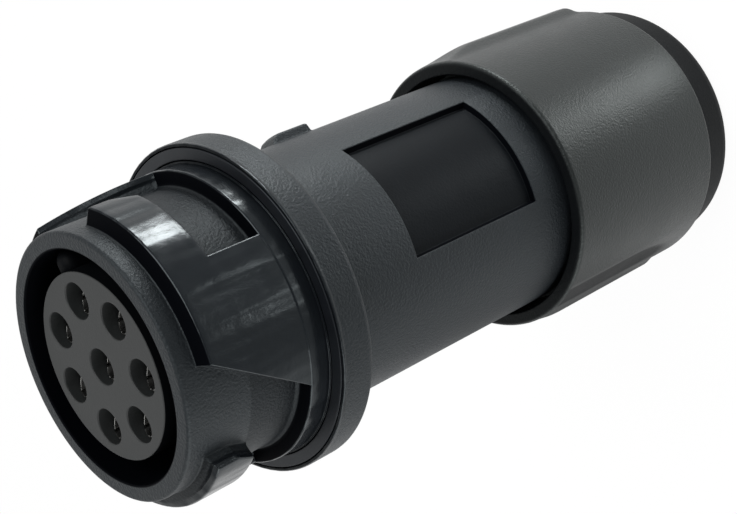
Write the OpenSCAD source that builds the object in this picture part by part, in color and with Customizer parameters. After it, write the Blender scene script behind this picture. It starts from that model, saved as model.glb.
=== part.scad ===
// In-line circular connector: bayonet coupling shell with eight socket contacts
// and a screw-on cable gland. It stands on the gland nut with its mating face up,
// and its polarising key points along +X.

/* [Overall] */
// Length from the back of the gland nut to the rim of the mating end
overall_len = 51; // [48:0.5:58]

/* [Mating end] */
// Outside diameter of the coupling shell at its rim
shell_d = 16.9; // [16.4:0.1:17.4]
// Wall of the coupling shell round the mating gap
shell_wall = 1.1; // [0.8:0.05:1.2]
// Diameter of the contact insert
insert_d = 11.8; // [11.6:0.1:12.2]
// Depth of the insert's face below the rim
insert_recess = 0.35; // [0.1:0.05:0.8]
// Depth of the gap between shell and insert, down to the face seal
mating_depth = 9.5; // [8:0.25:10.5]
// Width of the polarising key
key_w = 1.6; // [1.2:0.1:2]

/* [Bayonet] */
// Number of bayonet tracks
track_count = 3; // [2:1:3]
// Diameter over the raised tracks and the collar behind them
track_d = 19.0; // [18.2:0.1:19.4]
// Distance from the rim to the front wall of the tracks
track_setback = 1.5; // [1:0.1:2.5]
// Axial width of the rib in front of each locking pocket
track_rib_w = 3.0; // [2:0.1:3.5]
// Axial width of the locking pocket
pocket_w = 3.6; // [3:0.1:4.2]
// Angle from the key to the open end of the first track
track_start_a = -26; // [-40:1:-10]
// Angle that each pocket takes
pocket_a = 44; // [30:1:50]
// Angle of each track's front wall
track_a = 78.5; // [70:0.5:84]
// Slope of the guiding ends of the tracks
guide_slope = 31; // [20:1:35]
// Axial length of a track's open end before its corner slopes away
guide_start = 1.5; // [0.8:0.1:1.8]

/* [Flange] */
// Width of the collar between the pockets and the flange
collar_w = 1.45; // [1:0.05:2]
// Diameter of the flange
flange_d = 21.6; // [21:0.1:23]
// Thickness of the flange
flange_t = 2.45; // [2:0.05:3.5]
// Thickness of the gasket let into the flange
gasket_t = 1.0; // [0.6:0.1:1.4]
// Width of the groove that the gasket lies in
gasket_w = 0.9; // [0.6:0.05:1]
// Lip of the flange outside the gasket
gasket_lip = 0.25; // [0.2:0.05:0.4]

/* [Barrel] */
// Diameter of the barrel
barrel_d = 16.9; // [16.6:0.1:17.4]
// Length of the label window
label_len = 11.15; // [8:0.05:12]
// Width of the label window round the barrel
label_w = 8.75; // [6:0.05:10]
// Depth of the label window
label_depth = 0.35; // [0.2:0.05:0.5]
// Angle from the key to the middle of the label window
label_a = -74; // [-90:1:-60]
// Distance from the gland nut to the label window
label_gap = 2.55; // [2:0.05:3]
// Height of the alignment lug on the barrel
lug_h = 0.6; // [0.4:0.05:0.9]
// Length of the alignment lug
lug_len = 3.3; // [2.5:0.1:4.5]
// Width of the alignment lug
lug_w = 1.8; // [1.4:0.1:2.2]
// Distance from the flange to the alignment lug
lug_gap = 5.6; // [2:0.1:6]

/* [Contacts] */
// Number of contacts in the ring round the middle one
ring_count = 7; // [5:1:7]
// Diameter of the ring of contacts
ring_d = 8.2; // [8:0.05:8.4]
// Angle from the key to the first contact of the ring
ring_a = -8.5; // [-12:0.5:12]
// Diameter of the contact holes in the insert's face
hole_d = 2.3; // [2.1:0.05:2.4]
// Depth of the contacts' mouths below the insert's face
contact_recess = 0.3; // [0.2:0.05:1]
// Diameter of the pin that a contact takes
pin_d = 1.4; // [1.2:0.05:1.5]
// Number of tines of each contact
tine_count = 6; // [4:2:6]
// Width of the slots between a contact's tines
tine_slot = 0.16; // [0.12:0.01:0.2]
// Length of the solder cup behind the insert
cup_len = 4.5; // [3:0.1:6]

/* [Gland] */
// Length of the gland nut
nut_len = 18.7; // [18:0.1:20]
// Diameter of the gland nut
nut_d = 19.6; // [19.2:0.1:20.5]
// Height of the two grip ridges on the nut
grip_h = 0.5; // [0.3:0.05:0.8]
// Width of a grip ridge along its crest
grip_w = 1.2; // [0.8:0.1:2]
// Angle from the key to the first grip ridge, with the nut tight
grip_a = -10; // [-30:1:30]
// Depth of the scallop beside each grip ridge
scallop_depth = 0.38; // [0.2:0.02:0.5]
// Angle from a grip ridge to the middle of its scallop
scallop_a = 24.5; // [20:0.5:40]
// Diameter of the cable hole through the rubber gland
cable_d = 6.0; // [4:0.25:6.5]
// Diameter of the nut's thread
thread_d = 15.8; // [15.4:0.1:16]
// Number of fingers of the gland cage
finger_count = 8; // [6:1:10]

/* [Hidden] */
$fn = 96;

// Clearances and small edges
loose = 0.05;        // parts that slide together, on the radius
seat_gap = 0.3;      // faces of pieces that part when the nut is undone
seal_gap = 0.2;      // rubber plug in its bore, on the radius
cone_gap = 0.12;     // cage in the nut's cone
key_gap = 0.15;      // key in the shell's bore
edge = 0.15;         // edges broken by the mould
soft_edge = 0.4;     // edges rounded for the hand
over = 1;            // how far cutters reach past the solid
sink = 0.4;          // how far joined shapes reach into each other

// Colours
black_shell = [0.13, 0.13, 0.14];
black_matt = [0.17, 0.17, 0.17];
grey_insert = [0.24, 0.24, 0.25];
rubber = [0.06, 0.06, 0.07];
tinned = [0.62, 0.60, 0.55];

// Radii
shell_r = shell_d / 2;
bore_r = shell_r - shell_wall;
insert_r = insert_d / 2;
track_r = track_d / 2;
band_r = track_r + loose;             // the collar stands just proud of the tracks
flange_r = flange_d / 2;
barrel_r = barrel_d / 2;
thread_r = thread_d / 2;
nut_r = nut_d / 2;
gasket_r = flange_r - gasket_lip;
groove_r = gasket_r - gasket_w;

// Heights of the mating end, from the rim down
rim_z = overall_len;
rib_z = rim_z - track_setback;
pocket_z = rib_z - track_rib_w;
collar_z = pocket_z - pocket_w;
flange_z = collar_z - collar_w;
flange_back_z = flange_z - flange_t;
face_z = rim_z - insert_recess;
seal_t = 1.5;
seal_z = rim_z - mating_depth;
shoulder_t = 2;                       // the insert's own shoulder
shoulder_z = seal_z - seal_t;
ledge_w = 0.75;                       // the shell's ledge under that shoulder
ledge_t = 2;
ledge_z = shoulder_z - shoulder_t;
ledge_r = bore_r - ledge_w;
clip_t = 1;
clip_depth = 0.6;                     // groove that the clip snaps into
clip_z = ledge_z - ledge_t;
tail_len = 3;                         // the insert behind the ledge
tail_z = clip_z - tail_len;
tail_r = ledge_r - loose;
clip_r = tail_r - clip_depth;

// Contacts
hole_r = hole_d / 2;
pin_r = pin_d / 2;
contact_gap = 0.17;                   // room for the tines to spread, on the radius
contact_r = hole_r - contact_gap;
contact_top_z = face_z - contact_recess;
collar_r = hole_r - loose;
contact_collar_t = 2;
step_w = 0.32;                        // step in the hole that the collar sits on
step_drop = 1;                        // that step below the shell's ledge
step_z = ledge_z - step_drop;
shank_r = hole_r - step_w;
tine_len = 5;
socket_depth = 8;
cup_wall = 0.25;
cup_floor = 1;
cup_r = shank_r - cup_wall;
hole_edge = 0.08;                     // broken edge of the holes in the insert's face
tine_rim = 0.1;                       // flat end of the tines outside the funnel in a contact's mouth
lead_r = contact_r - tine_rim;
lead_len = 0.6;
drill_point = 0.3;                    // cone at the bottom of a contact's socket

// Gland end, from the back of the nut up
nut_back = 2.3;                       // wall behind the cage
cone_len = 4.6;
cone_step = 0.3;                      // from the thread in to the cone's wide end
cone_close = 2;                       // how much the cone narrows, on the radius
cone_top_z = nut_back + cone_len;
cone_r = thread_r - cone_step;
cone_back_r = cone_r - cone_close;
cage_ring_t = 1.4;                    // ring that the fingers stand on
cage_z = cone_top_z + cage_ring_t;
spigot_z = cage_z + seat_gap;         // end of the threaded spigot
spigot_wall = 1.6;
spigot_bore_r = thread_r - spigot_wall;
chamber_relief = 0.3;                 // wiring space, wider than the shell's ledge
chamber_r = ledge_r + chamber_relief;
socket_len = 3;                       // the nut's wide mouth
barrel_in = 1.5;                      // how far the barrel reaches into that mouth
mouth_wall = 0.95;
mouth_r = nut_r - mouth_wall;
barrel_end_z = nut_len - barrel_in;
cable_r = cable_d / 2;
finger_wall = 0.7;                    // the cage's fingers at their tips
finger_slot = 0.8;
gland_r = cone_back_r - finger_wall;
cage_r = gland_r + loose;
plug_r = spigot_bore_r - seal_gap;
plug_len = 2.1;
cable_gap = 1.2;                      // cable hole of the nut, on the radius
nut_hole_r = cable_r + cable_gap;
back_len = 3.8;                       // rounded back of the nut
back_step = 0.35;
back_taper = 0.3;
back_round = 1.6;
grip_from = back_len + soft_edge;
grip_setback = 1;                     // foot of the grip ridges behind the nut's mouth
grip_to = nut_len - grip_setback;
grip_ramp = 2.4;                      // length of the slope at the ridges' mouth end
grip_spread = 1.5;                    // how far the ridges' flanks spread, each side
scallop_r = 47;                       // long, shallow curve of the scallops

// A ring of square section whose outer edges are broken by the amount e
module ring(r0, r1, z0, z1, e = edge) {
    rotate_extrude()
        polygon([[r0, z0], [r1 - e, z0], [r1, z0 + e], [r1, z1 - e], [r1 - e, z1], [r0, z1]]);
}

// Part of a ring of square section, from angle a0 to angle a1
module arc_block(r0, r1, z0, z1, a0, a1, e = 0) {
    rotate([0, 0, a0])
        rotate_extrude(angle = a1 - a0)
            polygon([[r0, z0], [r1 - e, z0], [r1, z0 + e], [r1, z1 - e], [r1 - e, z1], [r0, z1]]);
}

// Everything on one side of a plane through the axis at angle a, which leans over by guide_slope
// below height z. side is 1 for the counter-clockwise side and -1 for the clockwise one.
module guide_cut(a, z, side) {
    reach = flange_d;
    rotate([0, 0, a])
        translate([0, 0, z])
            rotate([-guide_slope, 0, 0])
                translate([0, side > 0 ? 0 : -reach, -reach])
                    cube([reach, reach, 2 * reach]);
}

// One bayonet track: a raised block with a locking pocket behind its front rib
module track() {
    start_a = track_start_a;
    end_a = start_a - track_a;
    // the sloped end reaches this much further round at the track's foot
    spread = asin((rib_z - collar_z + sink) * tan(guide_slope) / (shell_r - sink)) + 1;
    difference() {
        arc_block(shell_r - sink, track_r, collar_z - sink, rib_z, end_a - spread, start_a, edge);
        arc_block(shell_r - over, track_r + over, collar_z - over, pocket_z, start_a - pocket_a, start_a + over);
        guide_cut(end_a, rib_z, -1);
        intersection() {
            guide_cut(start_a, rib_z - guide_start, 1);
            arc_block(shell_r - over, track_r + over, pocket_z - edge, rib_z, start_a - pocket_a, start_a + over);
        }
    }
}

// Outline of the shell: rim, collar, flange, barrel and spigot outside, and the stepped bore inside
module shell_outline() {
    polygon([
        [bore_r, rim_z - edge], [bore_r + edge, rim_z], [shell_r - edge, rim_z], [shell_r, rim_z - edge],
        [shell_r, collar_z], [band_r - edge, collar_z], [band_r, collar_z - edge],
        [band_r, flange_z], [groove_r, flange_z], [groove_r, flange_z - gasket_t],
        [gasket_r, flange_z - gasket_t], [gasket_r, flange_z],
        [flange_r - edge, flange_z], [flange_r, flange_z - edge],
        [flange_r, flange_back_z + soft_edge], [flange_r - soft_edge, flange_back_z],
        [barrel_r + soft_edge, flange_back_z], [barrel_r, flange_back_z - soft_edge],
        [barrel_r, barrel_end_z + edge], [barrel_r - edge, barrel_end_z],
        [thread_r, barrel_end_z], [thread_r, spigot_z + soft_edge], [thread_r - soft_edge, spigot_z],
        [spigot_bore_r, spigot_z], [spigot_bore_r, barrel_end_z],
        [chamber_r, barrel_end_z + 2 * (chamber_r - spigot_bore_r)], [chamber_r, clip_z],
        [ledge_r, clip_z], [ledge_r, ledge_z], [bore_r, ledge_z]]);
}

// Alignment lug: a low rib with a ramp towards the mating end
module lug() {
    top = flange_back_z - lug_gap;
    high = barrel_r + lug_h;
    ramp = 0.9;
    rotate([90, 0, 0])
        linear_extrude(height = lug_w, center = true)
            polygon([
                [barrel_r - sink, top], [barrel_r, top], [high - ramp / 4, top - ramp / 2], [high, top - ramp],
                [high, top - lug_len + edge], [high - edge, top - lug_len], [barrel_r - sink, top - lug_len]]);
}

module coupling_shell() color(black_shell) {
    label_half = label_w / barrel_d * 180 / PI;
    label_z = nut_len + label_gap;
    difference() {
        union() {
            rotate_extrude() shell_outline();
            for (i = [0:track_count - 1]) rotate([0, 0, i * 360 / track_count]) track();
            lug();
        }
        arc_block(barrel_r - label_depth, barrel_r + over, label_z, label_z + label_len,
                  label_a - label_half, label_a + label_half);
    }
}

// The key that runs down the insert's side, with a round back
module key(grow = 0) {
    half = key_w / 2 + grow;
    centre = bore_r - key_gap - key_w / 2;
    low = shoulder_z - sink;
    steps = 8;
    translate([0, 0, low])
        linear_extrude(height = face_z - 2 * edge - low)
            polygon(concat(
                [[insert_r - sink, half], [insert_r - sink, -half]],
                [for (i = [0:steps]) let (a = 180 * i / steps - 90) [centre + half * cos(a), half * sin(a)]]));
}

// Turns and places its children at contact i: the middle one is 0, the ring follows it
module at_contact(i) {
    a = ring_a - (i - 1) * 360 / ring_count;
    rotate([0, 0, i == 0 ? 0 : a]) translate([i == 0 ? 0 : ring_d / 2, 0, 0]) children();
}

// The stepped hole that a contact is pushed into
module contact_hole() {
    rear_r = shank_r + loose;
    rotate_extrude() polygon([
        [0, tail_z - over], [rear_r, tail_z - over], [rear_r, step_z], [hole_r, step_z], [hole_r, face_z - hole_edge],
        [hole_r + hole_edge, face_z], [hole_r + hole_edge, face_z + over], [0, face_z + over]]);
}

module contact_insert() color(grey_insert) difference() {
    union() {
        rotate_extrude() polygon([
            [0, face_z], [insert_r - edge, face_z], [insert_r, face_z - edge],
            [insert_r, shoulder_z], [bore_r - loose, shoulder_z], [bore_r - loose, ledge_z],
            [tail_r, ledge_z], [tail_r, clip_z], [clip_r, clip_z], [clip_r, clip_z - clip_t],
            [tail_r, clip_z - clip_t], [tail_r, tail_z + edge], [tail_r - edge, tail_z], [0, tail_z]]);
        key();
    }
    for (i = [0:ring_count]) at_contact(i) contact_hole();
}

// Split ring in the insert's groove, under the shell's ledge
module insert_clip() color(tinned) difference() {
    rotate_extrude() translate([clip_r, clip_z - clip_t]) square([chamber_r - loose - clip_r, clip_t]);
    translate([0, -clip_t, clip_z - clip_t - over]) cube([chamber_r + over, 2 * clip_t, clip_t + 2 * over]);
}

// Rubber ring at the bottom of the mating gap, notched for the key
module face_seal() color(rubber) difference() {
    ring(insert_r + loose, bore_r - loose, shoulder_z, seal_z);
    key(loose);
}

module flange_gasket() color(rubber)
    ring(groove_r + loose, gasket_r - loose, flange_z - gasket_t, flange_z);

// Socket contact: a slotted sleeve, a collar that sits in the insert, and a solder cup
module socket_contact() color(tinned) difference() {
    cup_z = tail_z - cup_len;
    rotate_extrude() polygon([
        [0, contact_top_z], [contact_r - loose, contact_top_z], [contact_r, contact_top_z - loose],
        [contact_r, step_z + contact_collar_t], [collar_r, step_z + contact_collar_t], [collar_r, step_z],
        [shank_r, step_z], [shank_r, cup_z], [0, cup_z]]);
    rotate_extrude() polygon([
        [0, contact_top_z - socket_depth - drill_point], [pin_r, contact_top_z - socket_depth],
        [pin_r, contact_top_z - lead_len], [lead_r, contact_top_z], [lead_r, contact_top_z + over],
        [0, contact_top_z + over]]);
    for (i = [0:tine_count / 2 - 1]) rotate([0, 0, (i + 0.5) * 360 / tine_count])
        translate([-over - contact_r, -tine_slot / 2, contact_top_z - tine_len])
            cube([2 * (contact_r + over), tine_slot, tine_len + over]);
    translate([0, 0, cup_z - over]) cylinder(r = cup_r, h = cup_len - cup_floor + over);
    translate([0, -over - shank_r, cup_z - over]) cube([over + shank_r, 2 * (over + shank_r), cup_len / 2 + over]);
}

// Radius of the nut's inner cone at height z
function nut_cone(z) = cone_back_r + (cone_r - cone_back_r) * (z - nut_back) / cone_len;

// Collet whose fingers the nut's cone closes round the rubber gland
module gland_cage() color(grey_insert) {
    finger_z = nut_back + seat_gap;
    difference() {
        rotate_extrude() polygon([
            [cage_r, finger_z], [nut_cone(finger_z) - cone_gap, finger_z],
            [nut_cone(cone_top_z) - cone_gap, cone_top_z], [nut_cone(cone_top_z) - cone_gap, cage_z - edge],
            [nut_cone(cone_top_z) - cone_gap - edge, cage_z], [cage_r, cage_z]]);
        for (i = [0:finger_count - 1]) rotate([0, 0, (i + 0.5) * 360 / finger_count])
            translate([0, -finger_slot / 2, finger_z - over])
                cube([thread_r, finger_slot, cone_top_z - soft_edge - finger_z + over]);
    }
}

// Rubber gland: a sleeve in the cage, with a plug that seals in the spigot
module cable_gland() color(rubber) {
    low = nut_back + seat_gap;
    top = cage_z + plug_len;
    rotate_extrude() polygon([
        [cable_r, low], [gland_r, low], [gland_r, cage_z], [plug_r, cage_z],
        [plug_r, top - soft_edge], [plug_r - soft_edge, top], [cable_r + soft_edge, top], [cable_r, top - soft_edge]]);
}

// Outline of the nut: wide mouth, thread bore, cone and cable hole inside, rounded back outside
module nut_outline() {
    back_r = nut_r - back_step;
    low_r = back_r - back_taper;
    steps = 6;
    polygon(concat(
        [[mouth_r + edge, nut_len], [nut_r - edge, nut_len], [nut_r, nut_len - edge], [nut_r, back_len + edge],
         [nut_r - edge, back_len], [back_r, back_len]],
        [for (i = [0:steps]) let (a = 90 * i / steps)
            [low_r - back_round * (1 - cos(a)), back_round * (1 - sin(a))]],
        [[nut_hole_r + soft_edge, 0], [nut_hole_r, soft_edge], [nut_hole_r, nut_back],
         [cone_back_r, nut_back], [cone_r, cone_top_z], [thread_r + loose, cone_top_z],
         [thread_r + loose, nut_len - socket_len], [mouth_r, nut_len - socket_len], [mouth_r, nut_len - edge]]));
}

// Grip ridge: sloping flanks seen along the axis, and a long ramp towards the nut's mouth
module grip_ridge() {
    root = nut_r - sink;
    crest = nut_r + grip_h;
    half = grip_w / 2;
    foot = half + grip_spread;
    intersection() {
        translate([0, 0, grip_from - over])
            linear_extrude(height = nut_len)
                polygon([[root, -foot], [crest, -half], [crest, half], [root, foot]]);
        rotate([90, 0, 0])
            linear_extrude(height = nut_d, center = true)
                polygon([[root - over, grip_from], [nut_r, grip_from], [crest, grip_from + grip_h],
                         [crest, grip_to - grip_ramp], [nut_r, grip_to], [root - over, grip_to]]);
    }
}

// What the scallop beside a grip ridge takes from the nut
module scallop_cut() {
    translate([nut_r - scallop_depth + scallop_r, 0, (grip_from + grip_to) / 2])
        rotate([90, 0, 0])
            cylinder(r = scallop_r, h = nut_d, center = true, $fn = 360);
}

module gland_nut() color(black_matt) {
    union() {
        difference() {
            rotate_extrude() nut_outline();
            for (a = [0, 180]) rotate([0, 0, grip_a + scallop_a + a]) scallop_cut();
        }
        for (a = [0, 180]) rotate([0, 0, grip_a + a]) grip_ridge();
    }
}

coupling_shell();
contact_insert();
insert_clip();
face_seal();
flange_gasket();
for (i = [0:ring_count])
    at_contact(i) socket_contact();
gland_cage();
cable_gland();
gland_nut();
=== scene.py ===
"""Looks of an in-line circular connector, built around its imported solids.

The coupling shell, the contact insert, the gland nut and the rubber rings are numpy surfaces in
the frame of the solids. The small inner pieces keep their solids and get a finish here.
"""

import math

import bmesh
import bpy
import numpy as np
from bpy.props import FloatProperty, FloatVectorProperty, IntProperty, PointerProperty
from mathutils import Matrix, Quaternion, Vector


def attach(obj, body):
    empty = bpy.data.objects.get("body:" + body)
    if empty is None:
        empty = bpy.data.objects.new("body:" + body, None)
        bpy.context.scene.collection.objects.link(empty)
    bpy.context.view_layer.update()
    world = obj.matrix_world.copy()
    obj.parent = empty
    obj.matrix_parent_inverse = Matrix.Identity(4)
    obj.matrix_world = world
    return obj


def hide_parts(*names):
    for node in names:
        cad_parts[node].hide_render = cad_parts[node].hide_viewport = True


bl_info = {
    "name": "Circular connector",
    "version": (1, 0, 0),
    "blender": (4, 5, 0),
    "location": "View3D > Sidebar > Connector",
    "description": "Dresses a bayonet cable connector around its packed solids",
    "category": "Add Mesh",
}

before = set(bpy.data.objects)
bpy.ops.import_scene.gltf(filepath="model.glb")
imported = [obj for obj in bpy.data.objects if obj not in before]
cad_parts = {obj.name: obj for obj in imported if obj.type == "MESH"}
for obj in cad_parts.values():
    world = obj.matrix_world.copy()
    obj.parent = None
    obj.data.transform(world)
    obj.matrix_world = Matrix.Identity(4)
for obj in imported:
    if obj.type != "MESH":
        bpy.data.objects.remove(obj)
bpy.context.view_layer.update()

MM = 0.001
TAU = 2 * math.pi

# Clearances and wall steps shared by the pieces, as in the solids
LOOSE = 0.05 * MM
GASKET_DEPTH = 1.0 * MM
GASKET_WIDTH = 0.9 * MM
GASKET_LIP = 0.25 * MM
SHOULDER_DROP = 11.0 * MM
SHOULDER_THICKNESS = 2.0 * MM
LEDGE_WIDTH = 0.75 * MM
LEDGE_THICKNESS = 2.0 * MM
CLIP_THICKNESS = 1.0 * MM
CLIP_DEPTH = 0.6 * MM
TAIL_LENGTH = 3.0 * MM
HOLE_STEP = 1.0 * MM
COLLAR_LENGTH = 2.0 * MM

# In metres: radii closer than SAME are one, rows stay APART, points closer than WELD are merged
SAME = 1e-8
APART = 1e-6
WELD = 1e-7
SLIVER = 1e-9


def length(name, description, millimetres):
    """A size in metres, given in millimetres."""
    return FloatProperty(
        name=name, description=description, default=millimetres * MM, unit="LENGTH", precision=5)


def angle(name, description, degrees):
    """An angle in radians, given in degrees."""
    return FloatProperty(name=name, description=description, default=math.radians(degrees), subtype="ANGLE")


def colour(name, description, red, green, blue):
    """A linear colour."""
    return FloatVectorProperty(
        name=name, description=description, default=(red, green, blue), subtype="COLOR", min=0.0, max=1.0)


class ShellSizes(bpy.types.PropertyGroup):
    """Sizes of the coupling shell"""
    rim_height: length("Rim height", "Height of the mating rim above the floor", 51.0)
    rim_radius: length("Rim radius", "Outside radius at the mating rim", 8.45)
    bore_radius: length("Bore radius", "Radius of the mating bore", 7.35)
    track_radius: length("Track radius", "Radius over the raised bayonet tracks", 9.5)
    track_setback: length("Track setback", "From the rim to the front wall of the tracks", 1.5)
    rib_width: length("Rib width", "Width of the rib in front of a locking pocket", 3.0)
    pocket_width: length("Pocket width", "Width of a locking pocket", 3.6)
    collar_width: length("Collar width", "Width of the collar between pockets and flange", 1.45)
    guide_start: length("Guide start", "Straight part of a track's open end", 1.5)
    track_start: angle("Track start", "Angle of the first track's open end", -26.0)
    pocket_turn: angle("Pocket turn", "Angle that a pocket takes", 44.0)
    track_turn: angle("Track turn", "Angle of a track's front wall", 78.5)
    guide_slope: angle("Guide slope", "Slope of the guiding ends", 31.0)
    track_count: IntProperty(name="Tracks", description="Number of bayonet tracks", default=3, min=1, max=4)
    flange_radius: length("Flange radius", "Radius of the flange", 10.8)
    flange_thickness: length("Flange thickness", "Thickness of the flange", 2.45)
    barrel_radius: length("Barrel radius", "Radius of the barrel", 8.45)
    barrel_end: length("Barrel end", "Height of the barrel's end inside the nut", 17.2)
    label_turn: angle("Window angle", "Angle of the middle of the label window", -74.0)
    label_width: length("Window width", "Width of the label window round the barrel", 8.75)
    label_length: length("Window length", "Length of the label window", 11.15)
    label_low: length("Window height", "Height of the window's lower end", 21.25)
    label_depth: length("Window depth", "Depth of the label window", 0.5)
    lug_width: length("Lug width", "Width of the alignment lug", 1.8)
    lug_length: length("Lug length", "Length of the alignment lug", 3.3)
    lug_rise: length("Lug rise", "Height of the alignment lug", 0.6)
    lug_top: length("Lug top", "Height of the lug's ramped end", 33.4)
    thread_radius: length("Thread radius", "Radius over the gland thread", 7.9)
    thread_pitch: length("Thread pitch", "Pitch of the gland thread", 1.5)
    thread_depth: length("Thread depth", "Depth of the gland thread", 0.45)
    spigot_end: length("Spigot end", "Height of the threaded spigot's end", 8.6)
    spigot_bore: length("Spigot bore", "Radius of the spigot's bore", 6.3)


class InsertSizes(bpy.types.PropertyGroup):
    """Sizes of the contact insert"""
    face_height: length("Face height", "Height of the insert's face", 50.65)
    radius: length("Radius", "Radius of the insert", 5.9)
    ring_radius: length("Ring radius", "Radius of the ring of contacts", 4.1)
    ring_turn: angle("Ring angle", "Angle of the first contact of the ring", -8.5)
    ring_count: IntProperty(name="Ring contacts", description="Contacts in the ring", default=7, min=3, max=9)
    hole_radius: length("Hole radius", "Radius of the contact holes", 1.15)
    hole_edge: length("Hole edge", "Rounding of a hole's edge in the face", 0.08)
    key_width: length("Key width", "Width of the polarising key", 1.6)
    key_reach: length("Key reach", "Radius that the key reaches", 7.2)


class ContactSizes(bpy.types.PropertyGroup):
    """Sizes of a socket contact"""
    recess: length("Recess", "From the insert's face down to the tines", 0.4)
    lean: length("Lean", "How much deeper the contact's mouth lies on its +X side", 0.9)
    radius: length("Radius", "Radius of the tines", 0.98)
    rim: length("Rim", "Width of the tines' flat ends", 0.1)
    pin_radius: length("Pin radius", "Radius of the pin that the contact takes", 0.7)
    funnel: length("Funnel", "Length of the funnel in the contact's mouth", 0.6)
    depth: length("Depth", "Depth of the socket", 7.9)
    tines: IntProperty(name="Tines", description="Number of tines", default=6, min=4, max=8)
    slot: length("Slot", "Width of the slots between the tines", 0.16)
    slot_length: length("Slot length", "Length of the slots", 4.9)
    shank_radius: length("Shank radius", "Radius of the shank", 0.83)
    cup_length: length("Cup length", "Length of the solder cup behind the insert", 4.5)
    cup_wall: length("Cup wall", "Wall of the solder cup", 0.25)


class NutSizes(bpy.types.PropertyGroup):
    """Sizes of the gland nut"""
    length: length("Length", "Length of the nut", 18.7)
    radius: length("Radius", "Radius of the nut", 9.8)
    mouth_radius: length("Mouth radius", "Radius of the nut's wide mouth", 8.85)
    mouth_depth: length("Mouth depth", "Depth of the nut's wide mouth", 3.0)
    back_length: length("Back length", "Length of the rounded back", 3.8)
    back_radius: length("Back radius", "Radius of the rounded back at its step", 9.45)
    back_foot: length("Back foot", "Radius that the back tapers to", 8.93)
    back_round: length("Back rounding", "Rounding of the back edge", 1.6)
    hole_radius: length("Hole radius", "Radius of the cable hole", 4.2)
    grip_rise: length("Grip rise", "Height of the grip ridges", 0.5)
    grip_width: length("Grip width", "Width of a ridge's crest", 1.2)
    grip_fall: FloatProperty(name="Grip fall", description="Slope of the ridges' flanks", default=0.6)
    grip_ramp: length("Grip ramp", "Length of the slope at the ridges' upper end", 2.4)
    grip_turn: angle("Grip angle", "Angle of the first grip ridge", -10.0)
    grip_low: length("Grip low end", "Height of the ridges' lower end", 4.2)
    grip_high: length("Grip high end", "Height of the ridges' upper end", 17.7)
    scallop_turn: angle("Scallop angle", "Angle from a ridge to its scallop", 24.5)
    scallop_depth: length("Scallop depth", "Depth of the scallops", 0.38)
    scallop_curve: length("Scallop curve", "Radius of the scallops' long curve", 47.0)
    thread_groove: length("Thread groove", "Depth of the inner thread's groove", 0.35)


class GlandSizes(bpy.types.PropertyGroup):
    """Sizes of the rubber rings"""
    cable_radius: length("Cable radius", "Radius of the cable hole", 3.0)
    sleeve_radius: length("Sleeve radius", "Radius of the gland's sleeve", 4.9)
    plug_radius: length("Plug radius", "Radius of the gland's plug", 6.1)
    low: length("Low end", "Height of the gland's lower end", 2.6)
    plug_low: length("Plug low end", "Height of the plug's lower end", 8.3)
    top: length("Top", "Height of the gland's top", 10.4)


class FinishColours(bpy.types.PropertyGroup):
    """Colours of the finishes"""
    shell: colour("Shell", "Black moulded shell", 0.0080, 0.0098, 0.0122)
    nut: colour("Nut", "Black moulded nut", 0.0108, 0.0122, 0.0124)
    insert: colour("Insert", "Dark grey insert", 0.0185, 0.0205, 0.0205)
    rubber: colour("Rubber", "Black rubber", 0.0035, 0.0042, 0.0060)
    tin: colour("Tin", "Dull tin plate", 0.26, 0.26, 0.25)
    steel: colour("Steel", "Spring steel", 0.45, 0.45, 0.45)
    floor: colour("Floor", "Pale floor", 0.80, 0.80, 0.80)


class StageSettings(bpy.types.PropertyGroup):
    """Camera and light"""
    lens: FloatProperty(name="Lens", description="Focal length on a 36 mm sensor", default=75.586)
    camera: FloatVectorProperty(
        name="Camera", description="Place of the camera", default=(-0.000147, -0.081158, 0.092576),
        subtype="TRANSLATION")
    tilt: angle("Tilt", "How far the camera looks down", 37.880)
    heading: angle("Heading", "How far the camera looks towards -X", 0.411)
    roll: angle("Roll", "Roll of the camera", -114.944)
    floor_size: FloatProperty(name="Floor", description="Half width of the floor", default=2.0, unit="LENGTH")


class ConnectorSettings(bpy.types.PropertyGroup):
    """All settings of the connector"""
    shell: PointerProperty(type=ShellSizes)
    insert: PointerProperty(type=InsertSizes)
    contact: PointerProperty(type=ContactSizes)
    nut: PointerProperty(type=NutSizes)
    gland: PointerProperty(type=GlandSizes)
    colours: PointerProperty(type=FinishColours)
    stage: PointerProperty(type=StageSettings)


# Profiles and grids

def smooth_step(x, low, high):
    """0 below low, 1 above high, and 3t^2 - 2t^3 between them."""
    t = np.clip((x - low) / (high - low), 0.0, 1.0)
    return t * t * (3 - 2 * t)


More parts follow.
